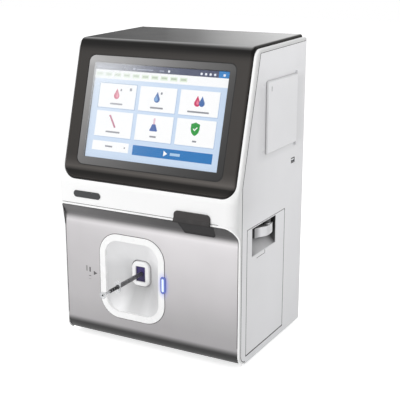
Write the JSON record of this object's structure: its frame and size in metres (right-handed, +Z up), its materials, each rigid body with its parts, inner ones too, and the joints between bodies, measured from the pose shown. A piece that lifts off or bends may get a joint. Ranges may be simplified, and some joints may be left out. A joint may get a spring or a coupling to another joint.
{
  "type": "blood gas analyzer",
  "caption": "Bench-top blood gas analyzer with a tilted touch screen, a front sampling port holding a syringe, a side reagent drawer and a side printer door.",
  "frame": {"origin": "middle of the overall footprint on the surface that the feet stand on", "axes": "+Z up, -Y towards the front with the screen and the port, +X towards the side with the drawer and the printer"},
  "size_m": [0.3006, 0.293, 0.457],
  "materials": {
    "cover_dark": "satin",
    "screen_glass": "polished",
    "display": "glossy",
    "frame_white": "satin",
    "side_white": "satin",
    "panel_silver": "satin",
    "trim_dark": "satin",
    "window_smoke": "glossy",
    "seal_violet": "matte",
    "light_pipe": "frosted",
    "syringe_grey": "satin",
    "seal_black": "matte",
    "sheet_steel": "brushed",
    "aluminium": "satin",
    "inner_plastic": "satin",
    "tube_clear": "satin",
    "paper": "matte",
    "board_green": "satin",
    "socket_dark": "satin"
  },
  "bodies": {
    "chassis": {"top_cover": "cover_dark", "touch_glass": "screen_glass", "display_panel": "display", "front_frame": "frame_white", "port_ring": "frame_white", "port_funnel": "frame_white", "port_collar": "frame_white", "side_panel_left": "side_white", "side_panel_right": "side_white", "rear_panel": "side_white", "printer_hinge_pins": "side_white", "front_panel": "panel_silver", "badge_plate": "trim_dark", "reader_hood": "trim_dark", "code_reader": "trim_dark", "fan_frame": "trim_dark", "reader_window": "window_smoke", "port_seal": "seal_violet", "port_light": "light_pipe", "feet": "seal_black", "base_tray": "sheet_steel", "inner_shelf": "sheet_steel", "display_bracket": "sheet_steel", "drawer_cage": "sheet_steel", "drawer_rails": "sheet_steel", "probe_frame": "sheet_steel", "power_supply": "sheet_steel", "fan_guard": "sheet_steel", "case_screws": "sheet_steel", "guide_rods": "sheet_steel", "measuring_block": "aluminium", "pump_motor": "aluminium", "probe_motor": "aluminium", "print_head": "aluminium", "printer_body": "inner_plastic", "pump_body": "inner_plastic", "sensor_cassette": "inner_plastic", "pack_manifold": "inner_plastic", "pump_tubes": "tube_clear", "main_board": "board_green", "usb_ports": "socket_dark", "data_ports": "socket_dark", "power_inlet": "socket_dark"},
    "drawer": {"drawer_front": "side_white", "drawer_tray": "inner_plastic", "drawer_runners": "sheet_steel", "reagent_pack": "inner_plastic"},
    "lever": {"drawer_lever": "inner_plastic"},
    "paper_door": {"printer_door": "side_white"},
    "platen": {"platen_roller": "seal_black"},
    "paper": {"paper_roll": "paper"},
    "syringe": {"syringe_barrel": "syringe_grey"},
    "plunger": {"plunger_rod": "syringe_grey", "plunger_seal": "seal_black"},
    "probe": {"probe_carriage": "inner_plastic", "sampling_probe": "sheet_steel"},
    "screw": {"lead_screw": "sheet_steel"},
    "pump": {"pump_rotor": "inner_plastic"},
    "fan": {"fan_rotor": "trim_dark"},
    "rocker": {"power_rocker": "socket_dark"}
  },
  "joints": [
    {"name": "drawer_slide", "type": "slide", "parent": "chassis", "child": "drawer", "axis": [1, 0, 0], "range_m": [0, 0.11]},
    {"name": "lever_turn", "type": "hinge", "parent": "drawer", "child": "lever", "pos_m": [0.1415, 0.0305, 0.187], "axis": [0, 0, 1], "range_deg": [0, 25], "stiffness_Nm_per_rad": 0.08, "springref_deg": -4.58},
    {"name": "printer_door_hinge", "type": "hinge", "parent": "chassis", "child": "paper_door", "pos_m": [0.1505, 0.10575, 0.353], "axis": [0, 0, 1], "range_deg": [0, 110]},
    {"name": "platen_spin", "type": "hinge", "parent": "paper_door", "child": "platen", "pos_m": [0.1415, 0.0175, 0.3535], "axis": [0, 0, 1], "continuous": true},
    {"name": "paper_roll_spin", "type": "hinge", "parent": "chassis", "child": "paper", "pos_m": [0.1065, 0.0635, 0.3535], "axis": [0, 0, 1], "continuous": true},
    {"name": "syringe_slide", "type": "slide", "parent": "chassis", "child": "syringe", "axis": [0, -1, 0], "range_m": [0, 0.06]},
    {"name": "plunger_slide", "type": "slide", "parent": "syringe", "child": "plunger", "axis": [0, 1, 0], "range_m": [0, 0.035]},
    {"name": "probe_slide", "type": "slide", "parent": "chassis", "child": "probe", "axis": [0, -1, 0], "range_m": [0, 0.03]},
    {"name": "screw_turn", "type": "hinge", "parent": "chassis", "child": "screw", "pos_m": [-0.0285, 0.0435, 0.1305], "axis": [0, -1, 0], "range_deg": [0, 1081]},
    {"name": "pump_spin", "type": "hinge", "parent": "chassis", "child": "pump", "pos_m": [-0.105, -0.0195, 0.172], "axis": [0, -1, 0], "continuous": true},
    {"name": "fan_spin", "type": "hinge", "parent": "chassis", "child": "fan", "pos_m": [-0.07, 0.1305, 0.337], "axis": [0, 1, 0], "continuous": true},
    {"name": "rocker_turn", "type": "hinge", "parent": "chassis", "child": "rocker", "pos_m": [0.062, 0.1395, 0.047], "axis": [1, 0, 0], "range_deg": [0, 16]}
  ],
  "couplings": [
    {"joint": "screw_turn", "follows": "probe_slide", "rad_per_m": 628.32}
  ]
}
